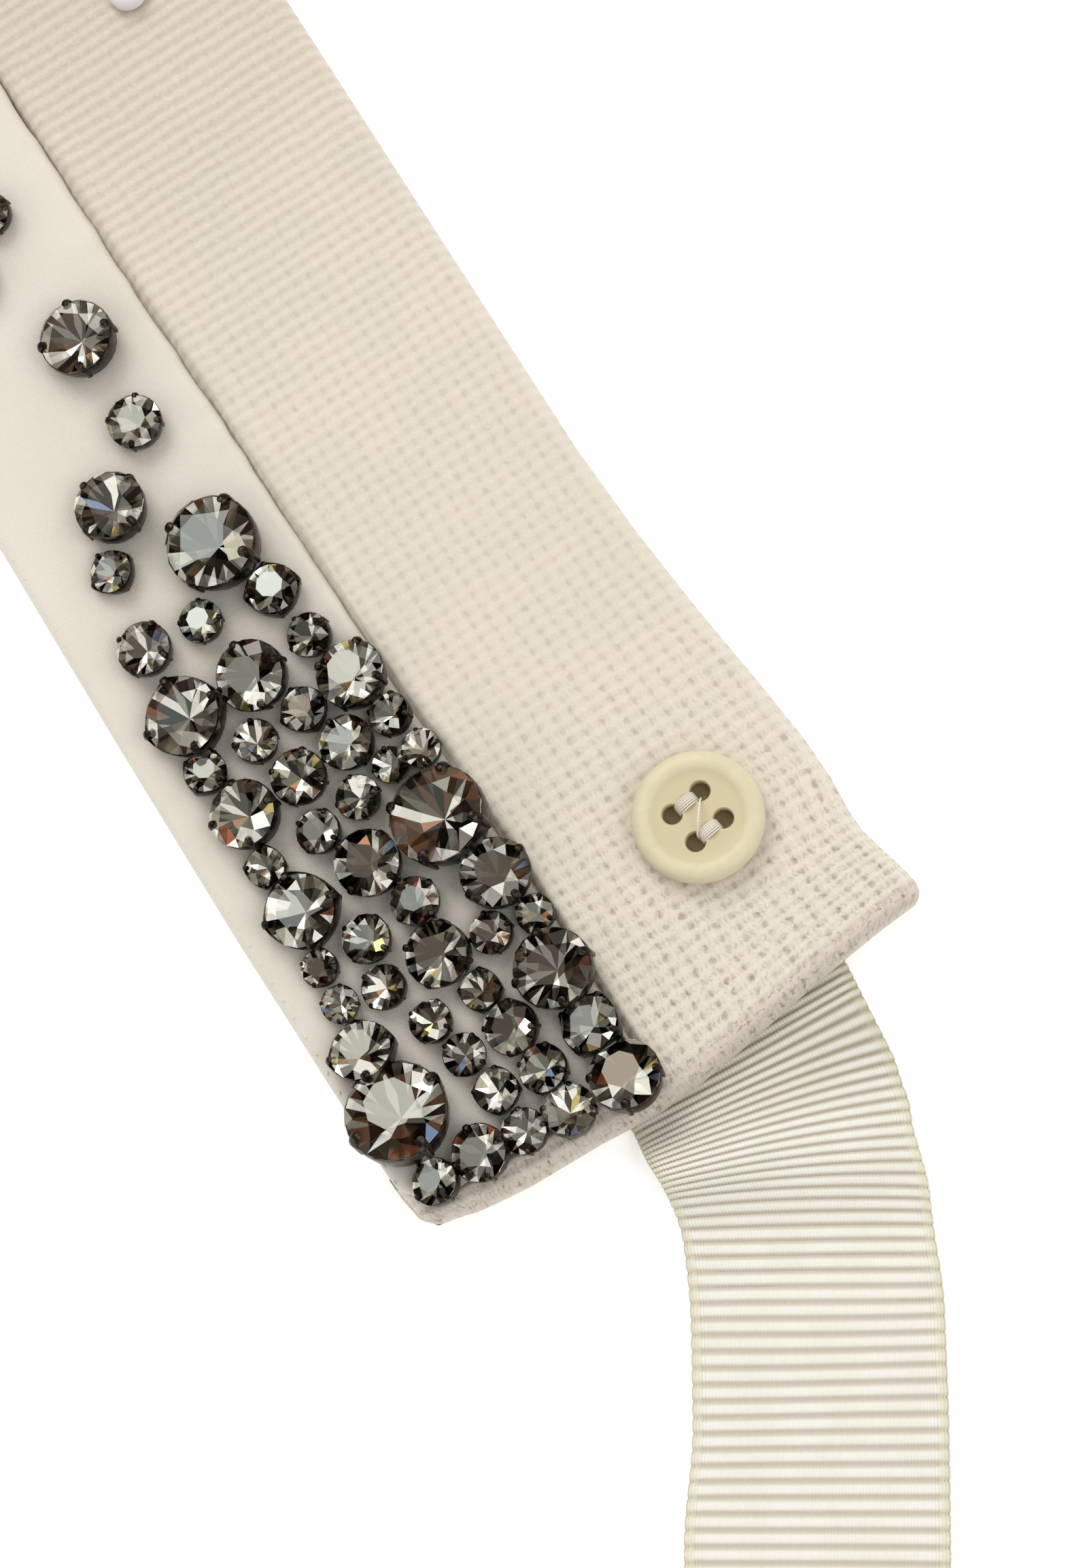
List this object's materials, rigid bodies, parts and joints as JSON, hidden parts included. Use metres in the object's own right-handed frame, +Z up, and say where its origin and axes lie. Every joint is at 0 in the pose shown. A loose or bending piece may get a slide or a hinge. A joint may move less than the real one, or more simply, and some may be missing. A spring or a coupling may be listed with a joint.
{
  "type": "detachable wool collar",
  "caption": "Flat knitted wool band collar with a satin strip of sewn-on crystals along one side, buttons and studs along the other, and a ribbon tie at each end.",
  "frame": {"origin": "on the surface that the collar lies on, under the middle of the whole collar's box, ribbons included", "axes": "+X along the collar towards the end that the picture shows; +Y towards the wool side, which is the inside of the gentle bow; +Z up out of the crystal face"},
  "size_m": [0.8796, 0.206, 0.0086],
  "materials": {
    "wool_knit": "matt, slightly fuzzy pale oatmeal wool knit",
    "ivory_satin": "soft-sheen ivory satin, finely woven",
    "cream_button": "polished cream horn-like button",
    "clear_stud": "milky clear moulded stud",
    "ivory_grosgrain": "ribbed ivory grosgrain with a light sheen",
    "smoky_crystal": "cut smoky grey-brown crystal",
    "dark_cup": "dark bronzed setting",
    "ivory_thread": "twisted ivory sewing thread"
  },
  "bodies": {
    "root": {"wool_band": "wool_knit", "satin_strip": "ivory_satin", "button_near": "cream_button", "button_far": "cream_button", "stud_near": "clear_stud", "stud_middle": "clear_stud", "stud_far": "clear_stud", "ribbon_near": "ivory_grosgrain", "ribbon_far": "ivory_grosgrain"}
  },
  "joints": []
}
